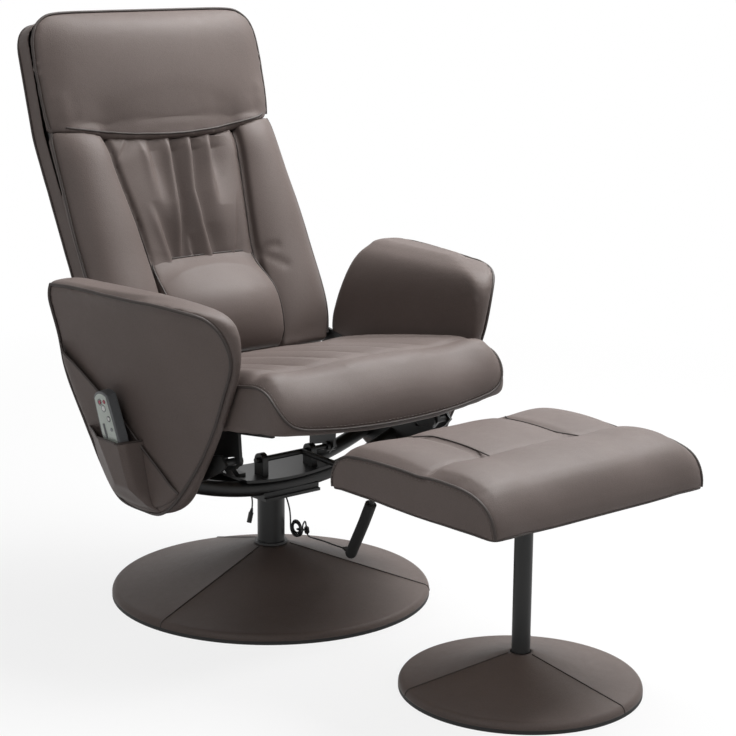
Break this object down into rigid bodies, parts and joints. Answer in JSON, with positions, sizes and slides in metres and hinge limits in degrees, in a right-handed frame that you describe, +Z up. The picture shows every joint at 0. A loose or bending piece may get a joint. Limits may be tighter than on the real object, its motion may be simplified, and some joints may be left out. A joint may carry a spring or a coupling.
{
  "type": "recliner with footstool",
  "caption": "Leather-covered swivel recliner on a domed pedestal base, with padded arms, side pockets, a corded hand control and a matching footstool.",
  "frame": {"origin": "on the floor, at the centre of the chair base on the swivel axis", "axes": "+Z up, -Y the way the chair faces, +X towards the left hand of a person seated in it"},
  "size_m": [0.76, 1.22, 0.9951],
  "materials": {
    "leather": "soft satin",
    "black_steel": "satin",
    "fasteners": "plain",
    "rubber": "matte",
    "plastic": "matte",
    "lead_skin": "satin",
    "plywood": "raw",
    "face_plate": "satin",
    "key_red": "gloss",
    "key_white": "gloss"
  },
  "bodies": {
    "base": {"base_plate": "black_steel", "base_rim": "rubber", "base_cover": "leather", "pedestal_tube": "black_steel", "pedestal_collar": "plastic", "swivel_bushes": "plastic"},
    "carriage": {"swivel_spindle": "black_steel", "spindle_clip": "fasteners", "hub_saddle": "black_steel", "saddle_plate": "black_steel", "cradle_tube_front": "black_steel", "cradle_tube_rear": "black_steel", "lever_bearings": "black_steel", "seat_stop": "black_steel", "side_frames": "black_steel", "back_brackets": "black_steel", "pivot_pins": "fasteners", "arm_boards": "plywood", "frame_bolts": "fasteners", "arm_left": "leather", "arm_right": "leather", "magazine_pocket": "leather", "remote_pocket": "leather", "harness_lead": "lead_skin", "harness_hank": "lead_skin", "hank_tie": "plastic", "harness_join": "lead_skin", "tail_lead": "lead_skin", "tail_connectors": "plastic"},
    "lever": {"lever_rod": "black_steel", "lever_grip": "rubber"},
    "seat": {"seat_frame": "black_steel", "seat_board": "plywood", "seat_cushion": "leather", "lock_plate": "black_steel", "seat_motors": "plastic", "control_box": "plastic", "socket_lead": "lead_skin", "socket_connector": "plastic"},
    "back": {"back_cushion": "leather", "head_cushion": "leather", "lumbar_cushion": "leather", "back_shell": "leather", "back_frame": "black_steel", "hinge_plates": "black_steel", "back_motors": "plastic"},
    "remote": {"remote_case": "plastic", "remote_face": "face_plate"},
    "heat_key": {"button_heat": "key_red"},
    "power_key": {"button_power": "key_red"},
    "mode_key": {"button_mode": "key_white"},
    "speed_key": {"button_speed": "key_white"},
    "timer_key": {"button_timer": "key_white"},
    "stool": {"stool_base_plate": "black_steel", "stool_base_rim": "rubber", "stool_base_cover": "leather", "stool_post": "black_steel", "stool_spider": "black_steel", "stool_board": "plywood", "stool_cushion": "leather"}
  },
  "joints": [
    {"name": "swivel", "type": "hinge", "parent": "base", "child": "carriage", "pos_m": [0, 0, 0.15], "axis": [0, 0, 1], "continuous": true},
    {"name": "recline", "type": "hinge", "parent": "carriage", "child": "back", "pos_m": [0, 0.165, 0.405], "axis": [-1, 0, 0], "range_deg": [0, 30]},
    {"name": "seat_glide", "type": "slide", "parent": "carriage", "child": "seat", "axis": [0, -0.9659, 0.2588], "range_m": [0, 0.042]},
    {"name": "lock_lever", "type": "hinge", "parent": "carriage", "child": "lever", "pos_m": [0, -0.03, 0.252], "axis": [-1, 0, 0], "range_deg": [0, 14]},
    {"name": "stool_slide", "type": "slide", "parent": "base", "child": "stool", "axis": [0, -1, 0], "range_m": [0, 0.3]},
    {"name": "remote_lift", "type": "slide", "parent": "carriage", "child": "remote", "axis": [-0.1187, 0.225, 0.9671], "range_m": [0, 0.06]},
    {"name": "heat_key_press", "type": "slide", "parent": "remote", "child": "heat_key", "axis": [0.9925, 0, 0.1219], "range_m": [0, 0.0007], "stiffness_N_per_m": 300, "springref_m": -0.0008},
    {"name": "power_key_press", "type": "slide", "parent": "remote", "child": "power_key", "axis": [0.9925, 0, 0.1219], "range_m": [0, 0.0007], "stiffness_N_per_m": 300, "springref_m": -0.0008},
    {"name": "mode_key_press", "type": "slide", "parent": "remote", "child": "mode_key", "axis": [0.9925, 0, 0.1219], "range_m": [0, 0.0007], "stiffness_N_per_m": 300, "springref_m": -0.0008},
    {"name": "speed_key_press", "type": "slide", "parent": "remote", "child": "speed_key", "axis": [0.9925, 0, 0.1219], "range_m": [0, 0.0007], "stiffness_N_per_m": 300, "springref_m": -0.0008},
    {"name": "timer_key_press", "type": "slide", "parent": "remote", "child": "timer_key", "axis": [0.9925, 0, 0.1219], "range_m": [0, 0.0007], "stiffness_N_per_m": 300, "springref_m": -0.0008}
  ],
  "couplings": [
    {"joint": "seat_glide", "follows": "recline", "m_per_rad": 0.080214}
  ]
}
